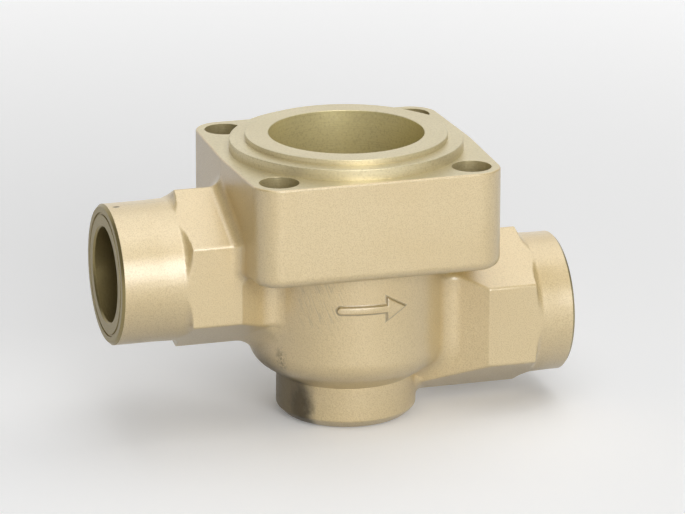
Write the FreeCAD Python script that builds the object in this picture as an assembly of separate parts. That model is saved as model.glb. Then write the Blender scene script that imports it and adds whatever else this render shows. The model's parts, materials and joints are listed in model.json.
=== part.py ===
import FreeCAD, Part
import math
import os

V = FreeCAD.Vector

# Driving dimensions of the forged and machined brass body, in millimetres and degrees.
# The origin is the centre of the boss's bottom face. +X is the flow, +Z runs up the main bore,
# and the forging dies part at y = 0.
flange_thickness = 23.5
flange_top_height = 63.5
flange_corner_radius = 6.5
flange_lower_edge_radius = 2.4
forging_draft = 2.0

bolt_pitch = 45.6
bolt_hole_diameter = 9.0
bolt_to_flange_end = 7.4
bolt_to_flange_side = 6.6
bolt_hole_to_collar = 0.74

outer_collar_height = 2.5
inner_collar_diameter = 46.8
inner_collar_height = 1.3
main_bore_diameter = 36.0
main_bore_floor_height = 34.0

body_diameter = 45.6
bowl_edge_height = 14.85
bowl_edge_radius = 6.5
bowl_angle = 35.0
boss_diameter = 32.6
boss_edge_chamfer = 2.2
seat_bore_diameter = 24.0
seat_bore_floor_height = 7.0

stub_diameter = 32.5
stub_end_chamfer = 0.6
socket_diameter = 22.0
socket_depth = 20.0
socket_mouth_chamfer = 0.4
passage_diameter = 18.0
inlet_axis_height = 38.0
inlet_reach = 57.6
inlet_passage_end = 15.0
outlet_axis_height = 22.0
outlet_reach = 50.9

hexagon_across_flats = 32.8
hexagon_outer_end = 41.4
hexagon_inner_end = 29.7
hexagon_edge_radius = 0.9
hexagon_step_length = 2.4
web_wall_angle = 34.0
web_body_root_radius = 4.5
web_boss_root_radius = 2.5
web_flange_root_radius = 3.0

# Sizes that follow from the ones above
flange_width = bolt_pitch + 2 * bolt_to_flange_end
flange_depth = bolt_pitch + 2 * bolt_to_flange_side
flange_underside = flange_top_height - flange_thickness
outer_collar_top = flange_top_height + outer_collar_height
inner_collar_top = outer_collar_top + inner_collar_height
outer_collar_radius = bolt_pitch / math.sqrt(2) - bolt_hole_diameter / 2 - bolt_hole_to_collar
body_radius = body_diameter / 2
body_top_height = flange_underside + flange_thickness / 2
boss_radius = boss_diameter / 2
bowl_slope = math.tan(math.radians(bowl_angle))
boss_height = bowl_edge_height - (body_radius - boss_radius) * bowl_slope
stub_radius = stub_diameter / 2
hexagon_half_flat = hexagon_across_flats / 2
hexagon_vertex_radius = hexagon_half_flat / math.cos(math.radians(30))
wall_tangent = math.tan(math.radians(web_wall_angle))
web_apex = hexagon_inner_end - hexagon_half_flat / wall_tangent
same_place = 0.02


def rounded_wire(corners, radii):
    """Closed wire through the corners, each one rounded by its own radius."""
    edges, starts, ends = [], [], []
    for i, (here, radius) in enumerate(zip(corners, radii)):
        before, after = corners[i - 1], corners[(i + 1) % len(corners)]
        to_before = (before - here).normalize()
        to_after = (after - here).normalize()
        if radius > 0:
            half_angle = to_before.getAngle(to_after) / 2
            bisector = (to_before + to_after).normalize()
            centre = here + bisector * (radius / math.sin(half_angle))
            reach = radius / math.tan(half_angle)
            starts.append(here + to_before * reach)
            ends.append(here + to_after * reach)
            middle = centre - bisector * radius
            edges.append(Part.Arc(starts[i], middle, ends[i]).toShape())
        else:
            starts.append(here)
            ends.append(here)
    for i in range(len(corners)):
        edges.append(Part.LineSegment(ends[i - 1], starts[i]).toShape())
    return Part.Wire(Part.__sortEdges__(edges))


def turned(profile, rounded=None, centre=V(0, 0, 0), axis=V(0, 0, 1)):
    """Solid turned about an axis from (radius, height) corners, some rounded, its seam at +Y."""
    radii = [(rounded or {}).get(i, 0) for i in range(len(profile))]
    wire = rounded_wire([V(0, radius, height) for radius, height in profile], radii)
    solid = Part.Face(wire).revolve(V(0, 0, 0), V(0, 0, 1), 360)
    solid.Placement = FreeCAD.Placement(centre, FreeCAD.Rotation(V(0, 0, 1), axis))
    return solid


def samples(edge):
    """Seven points along an edge."""
    span = edge.LastParameter - edge.FirstParameter
    return [edge.valueAt(edge.FirstParameter + span * k / 6) for k in range(7)]


def within(edge, radius):
    """True for an edge that stays inside or on a cylinder about the main axis."""
    return all(math.hypot(p.x, p.y) < radius + same_place for p in samples(edge))


def span_from_axis(edge):
    """Least and greatest distance of an edge's box from the main axis, along the stubs."""
    ends = abs(edge.BoundBox.XMin), abs(edge.BoundBox.XMax)
    return min(ends), max(ends)


def flange_block():
    """Square flange. Its ends are slightly V-shaped, for the draft of the two dies."""
    half_depth = flange_depth / 2
    at_parting = flange_width / 2
    at_face = at_parting - half_depth * math.tan(math.radians(forging_draft))
    corners = [V(at_parting, 0, 0), V(at_face, half_depth, 0), V(-at_face, half_depth, 0),
               V(-at_parting, 0, 0), V(-at_face, -half_depth, 0), V(at_face, -half_depth, 0)]
    radii = [0, flange_corner_radius, flange_corner_radius] * 2
    block = Part.Face(rounded_wire(corners, radii)).extrude(V(0, 0, flange_thickness))
    block.translate(V(0, 0, flange_underside))
    lower = [e for e in block.Edges if e.BoundBox.ZMax < flange_underside + same_place]
    return block.makeFillet(flange_lower_edge_radius, lower)


def collar():
    """Two turned steps round the mouth of the main bore."""
    outer, inner = outer_collar_radius, inner_collar_diameter / 2
    return turned([(0, body_top_height), (outer, body_top_height), (outer, outer_collar_top),
                   (inner, outer_collar_top), (inner, inner_collar_top), (0, inner_collar_top)])


def round_body():
    """Cylinder under the flange that closes in a bowl and stands on a plain round boss."""
    profile = [(0, 0), (boss_radius - boss_edge_chamfer, 0), (boss_radius, boss_edge_chamfer),
               (boss_radius, boss_height), (body_radius, bowl_edge_height),
               (body_radius, body_top_height), (0, body_top_height)]
    return turned(profile, {4: bowl_edge_radius})


def bare_bowl():
    """The round body with its bowl run on to a point, for the webs to be rooted in."""
    point = boss_height - boss_radius * bowl_slope
    profile = [(0, point), (body_radius, bowl_edge_height), (body_radius, flange_top_height),
               (0, flange_top_height)]
    return turned(profile, {1: bowl_edge_radius})


def bare_boss():
    """The boss run up through the body, for the outlet's web to be rooted in."""
    profile = [(0, 0), (boss_radius - boss_edge_chamfer, 0), (boss_radius, boss_edge_chamfer),
               (boss_radius, body_top_height), (0, body_top_height)]
    return turned(profile)


def port_envelope(side, axis_height, reach):
    """Turned shape of one port: past the hexagon it steps down to the round stub."""
    over = 2 * hexagon_vertex_radius
    stop = hexagon_outer_end + hexagon_step_length
    rise = (over - stub_radius) * hexagon_step_length / (hexagon_vertex_radius - stub_radius)
    profile = [(0, 0), (over, 0), (over, stop - rise), (stub_radius, stop),
               (stub_radius, reach - stub_end_chamfer), (stub_radius - stub_end_chamfer, reach),
               (0, reach)]
    return turned(profile, centre=V(0, 0, axis_height), axis=V(side, 0, 0))


def web_plan(side, reach):
    """Plan of a web: as wide as the hexagon, then narrowing to a point inside the body."""
    half, wide = hexagon_half_flat, 2 * hexagon_half_flat
    inner, outer = side * hexagon_inner_end, side * 2 * reach
    corners = [V(side * web_apex, 0, 0), V(inner, half, 0), V(inner, wide, 0), V(outer, wide, 0),
               V(outer, -wide, 0), V(inner, -wide, 0), V(inner, -half, 0)]
    return Part.Face(rounded_wire(corners, [0] * len(corners)))


def hexagon_web(side, axis_height, reach):
    """Stub with its spanner hexagon, run inwards to the body as a web, its edges rounded."""
    points = []
    for k in range(6):
        angle = math.radians(60 * k)
        points.append(V(0, hexagon_vertex_radius * math.sin(angle),
                        axis_height + hexagon_vertex_radius * math.cos(angle)))
    prism = Part.Face(rounded_wire(points, [0] * 6)).extrude(V(side * reach, 0, 0))
    web = prism.common(web_plan(side, reach).extrude(V(0, 0, 2 * flange_top_height)))
    along = []
    for edge in web.Edges:
        near, far = span_from_axis(edge)
        if far > hexagon_inner_end - same_place and near < reach - same_place:
            along.append(edge)
    web = web.makeFillet(hexagon_edge_radius, along)
    return web.common(port_envelope(side, axis_height, reach))


def rooted_in_body(web, side):
    """A web joined to the round body, with a concave root down both walls and along the bowl."""
    trim = body_radius / 2
    size = 4 * inlet_reach
    outside = Part.makeBox(size, size, size, V(trim if side > 0 else -trim - size, -size / 2,
                                               -size / 2))
    joined = bare_bowl().fuse(web).common(outside).removeSplitter().Solids[0]
    wall_cosine = math.cos(math.radians(web_wall_angle))
    roots = []
    for edge in joined.Edges:
        if edge.Degenerated or span_from_axis(edge)[1] < trim + same_place:
            continue
        off_wall = [((side * p.x - web_apex) * wall_tangent - abs(p.y)) * wall_cosine
                    for p in samples(edge)]
        if max(map(abs, off_wall)) < same_place and within(edge, body_radius):
            roots.append(edge)
    return joined.makeFillet(web_body_root_radius, roots)


def rooted_in_boss(web):
    """The outlet's web joined to the boss, with a concave root all round it."""
    joined = bare_boss().fuse(web).removeSplitter().Solids[0]
    roots = [e for e in joined.Edges if not e.Degenerated and e.BoundBox.ZLength > same_place
             and span_from_axis(e)[0] > same_place and within(e, boss_radius)]
    return joined.makeFillet(web_boss_root_radius, roots)


def rooted_in_flange(web):
    """The inlet's web joined to the end of the flange, with a concave root over its top."""
    joined = flange_block().fuse(web).removeSplitter().Solids[0]
    facets_start = inlet_axis_height + hexagon_vertex_radius / 2
    roots = []
    for edge in joined.Edges:
        near, far = span_from_axis(edge)
        box = edge.BoundBox
        if (near > flange_width / 2 - hexagon_edge_radius and far < flange_width / 2 + same_place
                and box.Center.x < 0 and box.ZMin > facets_start
                and box.ZMax < inlet_axis_height + hexagon_vertex_radius):
            roots.append(edge)
    return joined.makeFillet(web_flange_root_radius, roots)


def forging():
    """The whole blank before machining."""
    inlet = hexagon_web(-1, inlet_axis_height, inlet_reach)
    outlet = hexagon_web(1, outlet_axis_height, outlet_reach)
    blank = rooted_in_flange(inlet).fuse([rooted_in_body(inlet, -1), rooted_in_body(outlet, 1),
                                          rooted_in_boss(outlet), round_body(), collar()])
    return blank.removeSplitter()


def main_and_seat_bores():
    """Blind bore down the main axis, with a narrower bore below its floor."""
    main, seat = main_bore_diameter / 2, seat_bore_diameter / 2
    profile = [(0, seat_bore_floor_height), (seat, seat_bore_floor_height),
               (seat, main_bore_floor_height), (main, main_bore_floor_height),
               (main, inner_collar_top), (0, inner_collar_top)]
    return turned(profile)


def port_bore(side, axis_height, reach, end):
    """Socket for a tube and the passage behind its stop."""
    socket, mouth, passage = socket_diameter / 2, socket_mouth_chamfer, passage_diameter / 2
    stop = reach - socket_depth
    profile = [(0, end), (passage, end), (passage, stop), (socket, stop),
               (socket, reach - mouth), (socket + mouth, reach), (0, reach)]
    return turned(profile, centre=V(0, 0, axis_height), axis=V(side, 0, 0))


def bolt_holes():
    """Four plain holes through the corners of the flange."""
    radius, half = bolt_hole_diameter / 2, bolt_pitch / 2
    return [Part.makeCylinder(radius, flange_thickness, V(x, y, flange_underside))
            for x in (-half, half) for y in (-half, half)]


valve_body = forging().cut([
    main_and_seat_bores(),
    port_bore(-1, inlet_axis_height, inlet_reach, inlet_passage_end),
    port_bore(1, outlet_axis_height, outlet_reach, 0),
] + bolt_holes())

os.makedirs("parts", exist_ok=True)
valve_body.Solids[0].exportStep("parts/valve_body.step")
print("valve_body: solids", len(valve_body.Solids), "valid", valve_body.isValid(),
      "volume", round(valve_body.Volume))
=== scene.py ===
import json
import math

import bmesh
import bpy
from mathutils import Matrix, Vector


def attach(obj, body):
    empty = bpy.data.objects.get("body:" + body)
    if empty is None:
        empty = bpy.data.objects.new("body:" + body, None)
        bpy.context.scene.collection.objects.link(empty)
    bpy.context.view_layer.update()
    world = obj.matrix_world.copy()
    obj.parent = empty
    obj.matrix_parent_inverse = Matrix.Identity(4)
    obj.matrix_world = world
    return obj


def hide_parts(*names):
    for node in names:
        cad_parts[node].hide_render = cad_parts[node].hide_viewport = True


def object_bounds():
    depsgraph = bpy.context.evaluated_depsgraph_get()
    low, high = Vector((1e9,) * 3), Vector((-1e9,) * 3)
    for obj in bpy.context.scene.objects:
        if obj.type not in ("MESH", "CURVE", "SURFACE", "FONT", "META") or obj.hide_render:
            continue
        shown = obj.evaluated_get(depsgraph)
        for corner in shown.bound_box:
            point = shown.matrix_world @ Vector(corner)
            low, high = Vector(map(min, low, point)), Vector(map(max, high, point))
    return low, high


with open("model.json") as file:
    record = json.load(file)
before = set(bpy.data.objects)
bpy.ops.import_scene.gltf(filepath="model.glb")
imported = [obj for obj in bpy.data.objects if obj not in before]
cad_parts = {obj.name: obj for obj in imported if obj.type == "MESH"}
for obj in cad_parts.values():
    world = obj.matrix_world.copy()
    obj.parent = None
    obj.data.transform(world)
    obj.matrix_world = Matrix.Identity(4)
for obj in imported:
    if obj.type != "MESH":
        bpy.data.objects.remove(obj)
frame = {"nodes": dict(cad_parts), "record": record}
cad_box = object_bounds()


# Body
# One piece of brass, drop forged between two dies and shot-blasted all over. The collars, the
# bores and the ends of both stubs were then turned, and the flange was drilled for its bolts.

mount = {entry["name"]: entry for entry in frame["record"]["mounts"]}
bore_radius = mount["main_bore"]["dims"]["r_mm"] / 1000
bolt_radius = mount["flange_bolts"]["dims"]["hole_r_mm"] / 1000
bolt_place = mount["flange_bolts"]["dims"]["spacing_x_mm"] / 2000
flange_top = mount["flange_bolts"]["pos_m"][2]
inlet_end, outlet_end = cad_box[0][0], cad_box[1][0]
inlet_height = mount["inlet_socket"]["pos_m"][2]
outlet_height = mount["outlet_socket"]["pos_m"][2]
socket_radius = mount["inlet_socket"]["dims"]["r_mm"] / 1000
socket_chamfer, end_chamfer = 0.0004, 0.0006
collar_radius, collar_height = 0.0270, 0.0025
inner_collar_radius, inner_collar_height = 0.0234, 0.0038
boss_radius, boss_chamfer, seat_floor = 0.0163, 0.0022, 0.0070

# Places nearer than this are one place. A face is level or upright by its normal's share of Z.
near, level_from, upright_below = 0.00003, 0.9, 0.5

forged_look, turned_look, inlet_look, outlet_look, drilled_look, bored_look = range(6)


def made_by(face):
    """Number of a face's material: forged, turned, faced at a stub's end, drilled or bored."""
    centre, normal = face.calc_center_median(), face.normal
    from_axis = math.hypot(centre.x, centre.y)
    inward = normal.x * centre.x + normal.y * centre.y < near
    from_hole = math.hypot(abs(centre.x) - bolt_place, abs(centre.y) - bolt_place)
    if from_hole < bolt_radius + near and abs(normal.z) < upright_below:
        return drilled_look
    if centre.z > flange_top - near and normal.z > level_from:
        return turned_look
    if from_axis < bore_radius + near and inward and centre.z > seat_floor - near:
        return bored_look
    if centre.z > flange_top + near:
        return turned_look
    for look, side, end, height in ((inlet_look, -1, inlet_end, inlet_height),
                                    (outlet_look, 1, outlet_end, outlet_height)):
        radius = math.hypot(centre.y, centre.z - height)
        hollow = normal.y * centre.y + normal.z * (centre.z - height) < near
        if side * centre.x > side * end - end_chamfer - near:
            return look
        if side * centre.x > 0 and radius < socket_radius + socket_chamfer and hollow:
            return look
    return forged_look


merge_distance, flat_within = 2e-6, math.radians(0.05)
shape = bmesh.new()
shape.from_mesh(frame["nodes"]["valve_body"].data)
bmesh.ops.remove_doubles(shape, verts=shape.verts, dist=merge_distance)
bmesh.ops.dissolve_limit(shape, angle_limit=flat_within, verts=shape.verts,
                         edges=shape.edges, delimit=set())

# The turned edges were only broken with a file, and the flange's rim is the forging's own.
rim_round, hole_round, collar_round, foot_round = 0.00045, 0.00018, 0.00022, 0.0012


def circle_edges(level, radius, x=0.0, y=0.0):
    """Edges of a level circle about an upright axis."""
    return [e for e in shape.edges
            if all(abs(v.co.z - level) < near
                   and abs(math.hypot(v.co.x - x, v.co.y - y) - radius) < near
                   for v in e.verts)]


def soften(mesh, edges, width, segments, slide=True):
    """Rounds a run of edges, whose ends may slide along the edges that they meet."""
    bmesh.ops.bevel(mesh, geom=edges, offset=width, offset_type="OFFSET", segments=segments,
                    profile=0.5, affect="EDGES", material=-1, clamp_overlap=True,
                    loop_slide=slide)


hole_rims = []
for x in (-bolt_place, bolt_place):
    for y in (-bolt_place, bolt_place):
        hole_rims += circle_edges(flange_top, bolt_radius, x, y)
past_holes = bolt_place + bolt_radius + near
rim = [e for e in shape.edges
       if all(abs(v.co.z - flange_top) < near for v in e.verts)
       and any(abs(f.normal.z) < upright_below for f in e.link_faces)
       and all(max(abs(v.co.x), abs(v.co.y)) > past_holes for v in e.verts)]
soften(shape, rim, rim_round, segments=3)
soften(shape, hole_rims, hole_round, segments=2)
collar_edges = circle_edges(flange_top + collar_height, collar_radius)
collar_edges += circle_edges(flange_top + inner_collar_height, inner_collar_radius)
collar_edges += circle_edges(flange_top + inner_collar_height, bore_radius)
soften(shape, collar_edges, collar_round, segments=3)
soften(shape, circle_edges(0.0, boss_radius - boss_chamfer), foot_round, segments=5)
soften(shape, circle_edges(boss_chamfer, boss_radius), foot_round, segments=5)

# Each corner of a hexagon ends in a hollow round that runs out on the stub.
hexagon_end, half_flat, stub_radius = 0.0414, 0.0164, 0.01625
hollow_radius, runout_start, runout_end = 0.0017, 0.0420, 0.0480
hollow_from, hollow_to, hollow_step, runout_step = 0.0409, 0.0440, 0.00025, 0.0008
hollow_sectors, corner_from, socket_clear, cut_tolerance = 60, 0.0168, 0.0150, 1e-6


def skin_of_port(side, height):
    """Outside faces of one port that reach into the stretch with the hollow rounds."""
    return [f for f in shape.faces
            if max(side * v.co.x for v in f.verts) > hollow_from
            and min(side * v.co.x for v in f.verts) < runout_end
            and all(math.hypot(v.co.y, v.co.z - height) > socket_clear for v in f.verts)]


def runout_foot(along):
    """Radius that falls slowly from the middle of a flat to the round stub."""
    share = min(max((runout_end - along) / (runout_end - runout_start), 0.0), 1.0)
    return stub_radius + (half_flat - stub_radius) * share ** 2 * (3 - 2 * share)


def hollow_limit(along):
    """Largest distance from the port's axis at a place along it."""
    if along < hexagon_end:
        return math.inf
    left = max(hexagon_end + hollow_radius - along, 0.0)
    return runout_foot(along) + hollow_radius - math.sqrt(hollow_radius ** 2 - left ** 2)


def cut_through(faces, point, normal):
    """Splits faces where a plane crosses them and returns them with their parts."""
    around = dict.fromkeys(part for f in faces for part in (*f.verts, *f.edges))
    made = bmesh.ops.bisect_plane(shape, geom=faces + list(around), dist=cut_tolerance,
                                  plane_co=point, plane_no=normal)
    return [part for part in made["geom"] if isinstance(part, bmesh.types.BMFace)]


def hollow_corners(side, height):
    """Cuts one port's skin into small faces and sets each corner's distance from the axis."""
    cut_at = hollow_from
    while cut_at < runout_end + runout_step / 2:
        cut_through(skin_of_port(side, height), (side * cut_at, 0, 0), (1, 0, 0))
        cut_at += hollow_step if cut_at < hollow_to else runout_step
    strips = [f for f in skin_of_port(side, height)
              if all(hollow_from - near < side * v.co.x < runout_end + runout_step
                     for v in f.verts)]
    for k in range(hollow_sectors):
        turn = math.pi * k / hollow_sectors
        strips = cut_through(strips, (0, 0, height), (0, math.cos(turn), math.sin(turn)))
    corner = []
    for v in shape.verts:
        radius, along = math.hypot(v.co.y, v.co.z - height), side * v.co.x
        if radius > socket_clear and hollow_from + near < along < runout_end + near:
            reach = min(max(radius, runout_foot(along)), hollow_limit(along)) / radius
            v.co = Vector((v.co.x, v.co.y * reach, height + (v.co.z - height) * reach))
            if radius > corner_from:
                corner.append(v)
    bmesh.ops.smooth_vert(shape, verts=corner, factor=0.5, use_axis_x=False,
                          use_axis_y=True, use_axis_z=True)


hollow_corners(-1, inlet_height)
hollow_corners(1, outlet_height)

# A shallow ring groove was turned in the end of each stub.
groove_inner, groove_outer, groove_depth = 0.0137, 0.0143, 0.0003
groove_slope, groove_steps = 0.00008, 128


def groove(side, end, height):
    """Cuts the ring groove in a stub's end face, from one circle that is extruded inwards."""
    flat = [f for f in shape.faces if all(abs(v.co.x - end) < near for v in f.verts)]
    bmesh.ops.delete(shape, geom=flat, context="FACES_ONLY")
    loose = [e for e in shape.edges if not e.link_faces]
    bmesh.ops.delete(shape, geom=loose, context="EDGES")
    border = [e for e in shape.edges if len(e.link_faces) == 1
              and all(abs(v.co.x - end) < near for v in e.verts)]
    outside = [e for e in border
               if math.hypot(e.verts[0].co.y, e.verts[0].co.z - height) > groove_outer]
    inside = [e for e in border if e not in outside]
    turn = Matrix.Translation((end, 0, height)) @ Matrix.Rotation(math.radians(90), 4, "Y")
    made = bmesh.ops.create_circle(shape, cap_ends=False, radius=groove_outer,
                                   segments=groove_steps, matrix=turn)
    ring = list(dict.fromkeys(e for v in made["verts"] for e in v.link_edges))
    bmesh.ops.triangle_fill(shape, use_beauty=True, edges=outside + ring)
    for radius, depth in ((groove_outer - groove_slope, groove_depth),
                          (groove_inner + groove_slope, groove_depth), (groove_inner, 0.0)):
        grown = bmesh.ops.extrude_edge_only(shape, edges=ring)
        fresh = {v for v in grown["geom"] if isinstance(v, bmesh.types.BMVert)}
        for v in fresh:
            reach = radius / math.hypot(v.co.y, v.co.z - height)
            v.co = Vector((end - side * depth, v.co.y * reach,
                           height + (v.co.z - height) * reach))
        ring = [e for e in shape.edges if all(v in fresh for v in e.verts)]
    bmesh.ops.triangle_fill(shape, use_beauty=True, edges=ring + inside)


groove(-1, inlet_end, inlet_height)
groove(1, outlet_end, outlet_height)

sharp_from = math.radians(32)
bmesh.ops.recalc_face_normals(shape, faces=shape.faces)
for face in shape.faces:
    face.smooth = True
    face.material_index = made_by(face)
for edge in shape.edges:
    edge.smooth = len(edge.link_faces) == 2 and edge.calc_face_angle() < sharp_from
body_mesh = bpy.data.meshes.new("forged_body")
shape.to_mesh(body_mesh)
shape.free()
body = bpy.data.objects.new("forged_body", body_mesh)
bpy.context.scene.collection.objects.link(body)
even = body.modifiers.new("even_shading", "WEIGHTED_NORMAL")
even.keep_sharp = True


# The blasted skin and the cut faces each have a shader group, made with these functions.
def node(tree, kind, inputs=None, **settings):
    """Adds one shader node, sets its properties, then its sockets by name or number."""
    made = tree.nodes.new(kind)
    for name, value in settings.items():
        setattr(made, name, value)
    for name, value in (inputs or {}).items():
        if isinstance(value, bpy.types.NodeSocket):
            tree.links.new(value, made.inputs[name])
        else:
            made.inputs[name].default_value = value
    return made


def sum_of(tree, operation, first, second=0.0):
    """One sum of two numbers or sockets."""
    return node(tree, "ShaderNodeMath", {0: first, 1: second}, operation=operation).outputs[0]


def vector_sum(tree, operation, first, second=(0, 0, 0)):
    """One sum of two vectors or sockets. A length or a product comes out as a number."""
    made = node(tree, "ShaderNodeVectorMath", {0: first, 1: second}, operation=operation)
    return made.outputs["Value" if operation in ("LENGTH", "DOT_PRODUCT") else "Vector"]


def far_from(tree, place, point, stretch=(1, 1, 1)):
    """Distance of the surface from a point, with each axis stretched."""
    moved = vector_sum(tree, "SUBTRACT", place, point)
    return vector_sum(tree, "LENGTH", vector_sum(tree, "MULTIPLY", moved, stretch))


def ramp(tree, factor, low, high, out_low=0.0, out_high=1.0):
    """Smooth step of a number from one range to another."""
    return node(tree, "ShaderNodeMapRange",
                {"Value": factor, "From Min": low, "From Max": high, "To Min": out_low,
                 "To Max": out_high}, interpolation_type="SMOOTHSTEP").outputs["Result"]


def noise(tree, place, scale, detail=2.0, roughness=0.5):
    """Even clouds of noise in space."""
    return node(tree, "ShaderNodeTexNoise",
                {"Vector": place, "Scale": scale, "Detail": detail, "Roughness": roughness}
                ).outputs["Fac"]


def blend(tree, factor, first, second):
    """Mix of two colours or colour sockets."""
    return node(tree, "ShaderNodeMix", {0: factor, 6: first, 7: second}, data_type="RGBA"
                ).outputs[2]


def build_up(tree, *layers):
    """Adds up layers of relief, each a socket and how far it stands out."""
    heights = [sum_of(tree, "MULTIPLY", layer, share) for layer, share in layers]
    total = heights[0]
    for height in heights[1:]:
        total = sum_of(tree, "ADD", total, height)
    return total


def surface_group(name, inputs, outputs):
    """A shader group for one finish, its object position and the sockets of its inputs."""
    tree = bpy.data.node_groups.new(name, "ShaderNodeTree")
    for way, sockets in (("INPUT", inputs), ("OUTPUT", outputs)):
        for label, kind in sockets.items():
            tree.interface.new_socket(label, in_out=way, socket_type="NodeSocket" + kind)
    given = tree.nodes.new("NodeGroupInput").outputs
    return tree, node(tree, "ShaderNodeTexCoord").outputs["Object"], given


def close_group(tree, **results):
    """Ends a finish group with its results, each named as its output."""
    end = tree.nodes.new("NodeGroupOutput")
    for label, socket in results.items():
        tree.links.new(socket, end.inputs[label])
    return tree


def blasted_skin():
    """Shot-blasted forging skin, its parting line, and the marks of handling on it."""
    tree, place, given = surface_group(
        "blasted_skin", {"Painted_shade": "Float"},
        {"Colour": "Color", "Roughness": "Float", "Height": "Float", "Film": "Float"})
    plain, pale, speck = ((0.815, 0.624, 0.305, 1), (0.845, 0.662, 0.345, 1),
                          (0.705, 0.522, 0.225, 1))
    grain = noise(tree, place, scale=3600, detail=1.5, roughness=0.6)
    dimples = noise(tree, place, scale=1300)
    waves = noise(tree, place, scale=140, roughness=0.45)
    cloud = noise(tree, place, scale=38, detail=3.0, roughness=0.55)
    colour = blend(tree, ramp(tree, cloud, 0.36, 0.66), plain, pale)
    colour = blend(tree, ramp(tree, grain, 0.32, 0.58), speck, colour)
    roughness = ramp(tree, dimples, 0.3, 0.7, out_low=0.46, out_high=0.56)

    # The trimmed flash, a broken line all round in the dies' parting plane
    flash_shade, flash_share = (0.36, 0.29, 0.16, 1), 0.25
    across_parting = node(tree, "ShaderNodeSeparateXYZ", {0: place}).outputs["Y"]
    line = ramp(tree, sum_of(tree, "ABSOLUTE", across_parting), 0.00012, 0.00038,
                out_low=1.0, out_high=0.0)
    broken = ramp(tree, noise(tree, place, scale=420), 0.36, 0.60)
    flash = sum_of(tree, "MULTIPLY", line, broken)
    colour = blend(tree, sum_of(tree, "MULTIPLY", flash, flash_share), colour, flash_shade)

    # A dark stain with a ragged edge on the boss, in a dull patch where the film is gone
    stain_shade, stain_ragged = (0.018, 0.016, 0.013, 1), 0.0042
    stain_far = far_from(tree, place, (-0.0138, -0.0087, 0.0050), stretch=(0.9, 0.9, 0.55))
    stain_noise = noise(tree, place, scale=330, detail=4.0, roughness=0.65)
    ragged = sum_of(tree, "ADD", stain_far,
                    sum_of(tree, "MULTIPLY", stain_noise, stain_ragged))
    stain = ramp(tree, ragged, 0.0032, 0.0066, out_low=0.97, out_high=0.0)
    colour = blend(tree, stain, colour, stain_shade)
    dull_shade = (0.17, 0.13, 0.07, 1)
    dull_far = far_from(tree, place, (-0.0162, -0.0035, 0.0060), stretch=(1.0, 1.0, 0.5))
    dull = ramp(tree, dull_far, 0.0060, 0.0110, out_low=0.80, out_high=0.0)
    colour = blend(tree, dull, colour, dull_shade)

    # Fine slanting file strokes on the round of the body, on the inlet's side of the arrow
    stroke_shade, stroke_share = (0.36, 0.28, 0.14, 1), 0.26
    across_strokes, along_strokes = (0.95, 0.0, 0.31), (0.03, 0.0, -0.10)
    strokes = node(tree, "ShaderNodeCombineXYZ",
                   {0: vector_sum(tree, "DOT_PRODUCT", place, across_strokes),
                    1: vector_sum(tree, "DOT_PRODUCT", place, along_strokes)}).outputs[0]
    filed_far = far_from(tree, place, (-0.0125, -0.0190, 0.0335), stretch=(1.0, 1.0, 0.8))
    filed = sum_of(tree, "MULTIPLY", ramp(tree, noise(tree, strokes, scale=2600), 0.50, 0.62),
                   ramp(tree, filed_far, 0.0035, 0.0078, out_low=1.0, out_high=0.0))
    colour = blend(tree, sum_of(tree, "MULTIPLY", filed, stroke_share), colour, stroke_shade)

    # A scuff above the bowl, and a pit on top of the inlet stub
    knock_shade = (0.11, 0.08, 0.04, 1)
    scuff_far = far_from(tree, place, (-0.0194, -0.0120, 0.0176), stretch=(1.0, 1.0, 0.6))
    scuff_noise = noise(tree, place, scale=1100, detail=3.0, roughness=0.6)
    scuff = sum_of(tree, "MULTIPLY",
                   ramp(tree, scuff_far, 0.0005, 0.0026, out_low=0.50, out_high=0.0),
                   ramp(tree, scuff_noise, 0.38, 0.62))
    pit_far = far_from(tree, place, (-0.0550, -0.0009, 0.0542), stretch=(0.55, 1.0, 1.0))
    pit = ramp(tree, pit_far, 0.00025, 0.00060, out_low=0.90, out_high=0.0)
    knocks = sum_of(tree, "MAXIMUM", scuff, pit)
    colour = blend(tree, knocks, colour, knock_shade)

    # Painted shade, laid on in the given share; the arrow's sloping sides use it
    painted_shade_colour = (0.20, 0.15, 0.07, 1)
    colour = blend(tree, given["Painted_shade"], colour, painted_shade_colour)

    fine = build_up(tree, (grain, 0.40), (dimples, 0.85))
    slow = build_up(tree, (waves, 0.55), (flash, 0.50), (filed, -0.28), (knocks, -0.30))
    bare = sum_of(tree, "MAXIMUM", sum_of(tree, "MAXIMUM", stain, dull), knocks)
    return close_group(tree, Colour=colour, Roughness=roughness,
                       Height=sum_of(tree, "ADD", fine, slow),
                       Film=sum_of(tree, "SUBTRACT", 1.0, bare))


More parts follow.
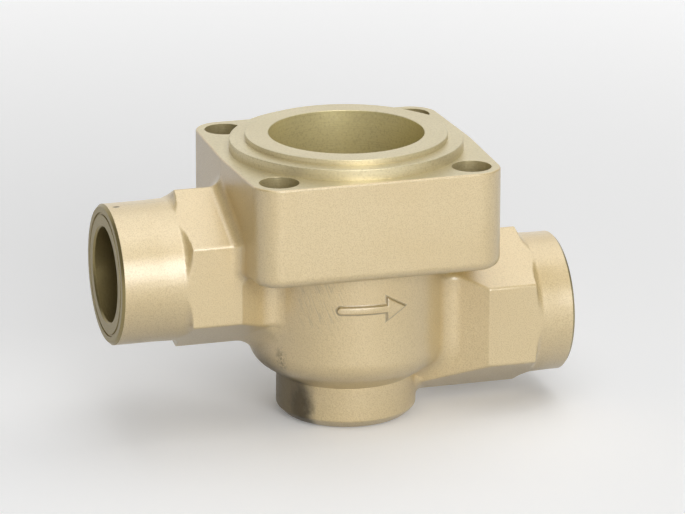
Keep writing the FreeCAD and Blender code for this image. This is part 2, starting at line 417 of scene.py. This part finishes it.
def cutter_marks():
    """Face or bore cut on a lathe or drilled: close rings round an axis, in a given tint."""
    tree, place, given = surface_group(
        "cutter_marks", {"Centre": "Vector", "Axis": "Vector", "Tint": "Color"},
        {"Colour": "Color", "Roughness": "Float", "Height": "Float"})
    folded = vector_sum(tree, "ABSOLUTE", place)
    moved = vector_sum(tree, "SUBTRACT", folded, given["Centre"])
    along = vector_sum(tree, "DOT_PRODUCT", moved, given["Axis"])
    lengthwise = node(tree, "ShaderNodeVectorMath", {0: given["Axis"], "Scale": along},
                      operation="SCALE").outputs["Vector"]
    radius = vector_sum(tree, "LENGTH", vector_sum(tree, "SUBTRACT", moved, lengthwise))
    travel = sum_of(tree, "ADD", radius, along)
    rings = node(tree, "ShaderNodeTexNoise", {"W": travel, "Scale": 4200, "Detail": 2.0},
                 noise_dimensions="1D").outputs["Fac"]
    cloud = noise(tree, place, scale=55)
    grain = noise(tree, place, scale=1900, roughness=0.6)

    dark, plain, pale, painted_glint_colour = ((0.660, 0.565, 0.330, 1), (0.730, 0.630, 0.375, 1),
                                 (0.775, 0.675, 0.420, 1), (0.85, 0.78, 0.56, 1))
    colour = blend(tree, ramp(tree, cloud, 0.3, 0.7), plain, pale)
    colour = blend(tree, ramp(tree, grain, 0.30, 0.52), dark, colour)
    # Painted shade along the turning rings, then painted glints on the grain.
    shadow = ramp(tree, rings, 0.30, 0.50, out_low=0.6, out_high=0.0)
    colour = blend(tree, shadow, colour, dark)
    glint = ramp(tree, grain, 0.62, 0.72, out_low=0.0, out_high=0.45)
    colour = blend(tree, glint, colour, painted_glint_colour)
    colour = node(tree, "ShaderNodeMix", {0: 1.0, 6: colour, 7: given["Tint"]},
                  data_type="RGBA", blend_type="MULTIPLY").outputs[2]
    return close_group(tree, Colour=colour,
                       Roughness=ramp(tree, rings, 0.3, 0.7, out_low=0.34, out_high=0.44),
                       Height=build_up(tree, (rings, 0.35), (grain, 0.35)))


def brass(name, finish, values, relief, metallic, film=None):
    """Brass with a finish group and a clear film, of a given weight or of the group's own."""
    material = bpy.data.materials.new(name)
    material.use_nodes = True
    tree = material.node_tree
    shader = tree.nodes["Principled BSDF"]
    surface = tree.nodes.new("ShaderNodeGroup")
    surface.node_tree = finish
    for label, value in values.items():
        surface.inputs[label].default_value = value
    bump = node(tree, "ShaderNodeBump", {"Height": surface.outputs["Height"], "Strength": 0.6,
                                         "Distance": relief})
    tree.links.new(surface.outputs["Colour"], shader.inputs["Base Color"])
    tree.links.new(surface.outputs["Roughness"], shader.inputs["Roughness"])
    tree.links.new(bump.outputs["Normal"], shader.inputs["Normal"])
    shader.inputs["Metallic"].default_value = metallic
    if film is None:
        tree.links.new(surface.outputs["Film"], shader.inputs["Coat Weight"])
    else:
        shader.inputs["Coat Weight"].default_value = film
    shader.inputs["Coat Roughness"].default_value = 0.34
    shader.inputs["Coat IOR"].default_value = 2.25
    return material


skin, skin_relief, skin_metallic = blasted_skin(), 0.00025, 0.16
forged_brass = brass("blasted_brass", skin, {"Painted_shade": 0.0}, skin_relief, skin_metallic)
body_mesh.materials.append(forged_brass)

cut_marks, cut_relief = cutter_marks(), 0.00010
upright, lengthways = (0, 0, 1), (1, 0, 0)
turned_tint, faced_tone_and_shade, drilled_tint, bore_painted_light = (
    (1.0, 1.0, 1.0, 1), (0.50, 0.46, 0.33, 1), (0.80, 0.79, 0.72, 1), (1.10, 1.13, 1.02, 1))
for name, centre, axis, tint, metallic, film in (
        ("turned_brass", (0, 0, 0), upright, turned_tint, 0.50, 0.25),
        # The faced ends are tinted greyer and darker: partly a greyer tone of their own,
        # partly painted shade.
        ("faced_inlet", (0, 0, inlet_height), lengthways, faced_tone_and_shade, 0.60, 0.0),
        ("faced_outlet", (0, 0, outlet_height), lengthways, faced_tone_and_shade, 0.60, 0.0),
        ("drilled_brass", (bolt_place, bolt_place, 0), upright, drilled_tint, 0.40, 0.25),
        # The bore walls are tinted lighter than the turned faces, as painted light.
        ("bored_brass", (0, 0, 0), upright, bore_painted_light, 0.50, 0.15)):
    cut_brass = brass(name, cut_marks, {"Centre": centre, "Axis": axis, "Tint": tint},
                      cut_relief, metallic, film)
    body_mesh.materials.append(cut_brass)
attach(body, "root")
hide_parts("valve_body")


# Flow arrow
# A plain arrow from the inlet to the outlet, of the same brass. The front die raised it on the
# round of the body, with a shaft that ends in a half round. Its sloping sides carry painted
# shade.

round_radius = 0.0228
arrow_height, arrow_sunk, arrow_slope = 0.00055, 0.0004, 0.00030
foot_width, foot_rise, arrow_round = 0.00022, 0.00004, 0.00016
shaft_half, shaft_start, head_start = 0.00125, -0.0092, 0.0024
head_half, head_tip, arrow_level = 0.0034, 0.0083, 0.0313
half_round_steps, arrow_cuts, arrow_tolerance = 6, 24, 1e-7
arrow_sharp_from = math.radians(40)
# Share of painted shade on the arrow's sloping sides
side_painted_shade = 0.50
arrow = bmesh.new()
outline = [(head_start, -shaft_half), (head_start, -head_half), (head_tip, 0.0),
           (head_start, head_half), (head_start, shaft_half)]
for k in range(half_round_steps + 1):
    angle = math.radians(90 + 180 / half_round_steps * k)
    outline.append((shaft_start + shaft_half * (1 + math.cos(angle)),
                    shaft_half * math.sin(angle)))
plate = arrow.faces.new([arrow.verts.new((along, up, 0)) for along, up in outline])
bmesh.ops.recalc_face_normals(arrow, faces=arrow.faces)
if plate.normal.z < 0:
    plate.normal_flip()
grown = bmesh.ops.extrude_face_region(arrow, geom=[plate])
lifted = [v for v in grown["geom"] if isinstance(v, bmesh.types.BMVert)]
bmesh.ops.translate(arrow, verts=lifted, vec=(0, 0, arrow_sunk))
top = [f for f in grown["geom"] if isinstance(f, bmesh.types.BMFace)]
for width, rise in ((foot_width, foot_rise), (arrow_slope, arrow_height)):
    sides = bmesh.ops.inset_region(arrow, faces=top, thickness=width, depth=rise,
                                   use_even_offset=True)["faces"]
    for face in sides:
        face.material_index = 1
upper = [e for e in arrow.edges
         if all(v.co.z > arrow_sunk + 0.5 * arrow_height for v in e.verts)]
soften(arrow, upper, arrow_round, segments=2, slide=False)
bmesh.ops.triangulate(arrow, faces=arrow.faces)
for k in range(1, arrow_cuts):
    cut_at = shaft_start + (head_tip - shaft_start) * k / arrow_cuts
    bmesh.ops.bisect_plane(arrow, geom=arrow.verts[:] + arrow.edges[:] + arrow.faces[:],
                           plane_co=(cut_at, 0, 0), plane_no=(1, 0, 0),
                           dist=arrow_tolerance)
for v in arrow.verts:
    angle, reach = v.co.x / round_radius, round_radius - arrow_sunk + v.co.z
    v.co = Vector((reach * math.sin(angle), -reach * math.cos(angle), arrow_level + v.co.y))
bmesh.ops.recalc_face_normals(arrow, faces=arrow.faces)
for face in arrow.faces:
    face.smooth = True
for edge in arrow.edges:
    edge.smooth = edge.calc_face_angle(0) < arrow_sharp_from
arrow_mesh = bpy.data.meshes.new("flow_arrow")
arrow.to_mesh(arrow_mesh)
arrow.free()
shaded_side_brass = brass("shaded_side_brass", skin, {"Painted_shade": side_painted_shade}, skin_relief, skin_metallic)
arrow_mesh.materials.append(forged_brass)
arrow_mesh.materials.append(shaded_side_brass)
flow_arrow = bpy.data.objects.new("flow_arrow", arrow_mesh)
bpy.context.scene.collection.objects.link(flow_arrow)
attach(flow_arrow, "root")


# Floor
# A plain white sheet under the body that keeps its soft shadow. The brass picks up less light
# from it than the camera does, as under a lamp that is flagged off the sheet.

sheet_reach = 6.0
seen_white, thrown_white = (0.92, 0.92, 0.92, 1), (0.08, 0.08, 0.08, 1)
glow_from, glow_to, near_glow, far_glow = 0.10, 0.75, 0.15, 0.66
sheet = bmesh.new()
bmesh.ops.create_grid(sheet, x_segments=1, y_segments=1, size=sheet_reach)
floor_mesh = bpy.data.meshes.new("floor")
sheet.to_mesh(floor_mesh)
sheet.free()
floor = bpy.data.objects.new("floor", floor_mesh)
bpy.context.scene.collection.objects.link(floor)


def seen_rays(tree):
    """1 for rays of the camera and for those that metal or glass sends on, else 0."""
    path = node(tree, "ShaderNodeLightPath").outputs
    return sum_of(tree, "MAXIMUM", path["Is Camera Ray"],
                  sum_of(tree, "MAXIMUM", path["Is Glossy Ray"], path["Is Transmission Ray"]))


paper = bpy.data.materials.new("white_sheet")
paper.use_nodes = True
tree = paper.node_tree
shader = tree.nodes["Principled BSDF"]
seen = seen_rays(tree)
from_middle = far_from(tree, node(tree, "ShaderNodeTexCoord").outputs["Object"], (0, 0, 0))
glow = ramp(tree, from_middle, glow_from, glow_to, near_glow, far_glow)
tree.links.new(blend(tree, seen, thrown_white, seen_white), shader.inputs["Base Color"])
tree.links.new(sum_of(tree, "MULTIPLY", glow, seen), shader.inputs["Emission Strength"])
shader.inputs["Emission Color"].default_value = (1, 1, 1, 1)
shader.inputs["Roughness"].default_value = 0.9
shader.inputs["Specular IOR Level"].default_value = 0.0
floor_mesh.materials.append(paper)


# Backdrop
# A white panel that stands behind the sheet, out of the picture. The top faces mirror it.

panel_away, panel_width, panel_height, panel_glow = 1.7, 4.0, 1.8, 0.8
panel = bmesh.new()
bmesh.ops.create_grid(panel, x_segments=1, y_segments=1, size=0.5,
                      matrix=Matrix.Translation((0, panel_away, panel_height / 2))
                      @ Matrix.Rotation(math.radians(90), 4, "X")
                      @ Matrix.Diagonal((panel_width, panel_height, 1, 1)))
panel_mesh = bpy.data.meshes.new("backdrop")
panel.to_mesh(panel_mesh)
panel.free()
backdrop = bpy.data.objects.new("backdrop", panel_mesh)
bpy.context.scene.collection.objects.link(backdrop)
card = bpy.data.materials.new("white_card")
card.use_nodes = True
tree = card.node_tree
shader = tree.nodes["Principled BSDF"]
tree.links.new(sum_of(tree, "MULTIPLY", seen_rays(tree), panel_glow),
               shader.inputs["Emission Strength"])
shader.inputs["Emission Color"].default_value = (1, 1, 1, 1)
shader.inputs["Base Color"].default_value = (0.8, 0.8, 0.8, 1)
shader.inputs["Roughness"].default_value = 0.9
panel_mesh.materials.append(card)


# Light
# A large soft lamp low in front, two weaker ones above, and a dim room.

lamp_target = Vector((0, 0, 0.03))
room_light = 0.08


def lamp(name, place, size, power):
    """A round soft lamp that is turned to the body."""
    data = bpy.data.lights.new(name, "AREA")
    data.shape = "DISK"
    data.size = size
    data.energy = power
    light = bpy.data.objects.new(name, data)
    bpy.context.scene.collection.objects.link(light)
    light.location = place
    light.rotation_euler = (lamp_target - Vector(place)).to_track_quat("-Z", "Y").to_euler()


lamp("key", (0.0, -1.21, 0.43), size=0.85, power=9.2)
lamp("top", (0.30, 0.30, 1.24), size=1.30, power=5.7)
lamp("high", (-0.10, -0.55, 1.20), size=1.00, power=4.7)
room = bpy.data.worlds.new("room")
bpy.context.scene.world = room
room.use_nodes = True
walls = room.node_tree.nodes["Background"]
walls.inputs["Color"].default_value = (1, 1, 1, 1)
walls.inputs["Strength"].default_value = room_light


# Camera
# Set by a fit of the flange, the collars and both stubs in the photograph: turned to the left
# of the front, looking slightly down, from over a metre away.

azimuth, elevation, roll = map(math.radians, (-17.164, 16.259, 0.133))
distance, focal_pixels = 1.15473, 5015.85
image_width, image_height = 685, 514
flange_centre_x, flange_centre_y = 346.25, 147.22
target = Vector((0, 0, flange_top))
away = Vector((math.sin(azimuth) * math.cos(elevation),
               -math.cos(azimuth) * math.cos(elevation), math.sin(elevation)))
lens = bpy.data.cameras.new("camera")
lens.sensor_width = 36.0
lens.lens = lens.sensor_width * focal_pixels / image_width
lens.shift_x = (image_width / 2 - flange_centre_x) / image_width
lens.shift_y = (flange_centre_y - image_height / 2) / image_width
lens.clip_end = 20.0
camera = bpy.data.objects.new("camera", lens)
bpy.context.scene.collection.objects.link(camera)
camera.matrix_world = (Matrix.Translation(target + away * distance)
                       @ (-away).to_track_quat("-Z", "Y").to_matrix().to_4x4()
                       @ Matrix.Rotation(roll, 4, "Z"))
bpy.context.scene.camera = camera
bpy.context.scene.view_settings.view_transform = "Standard"
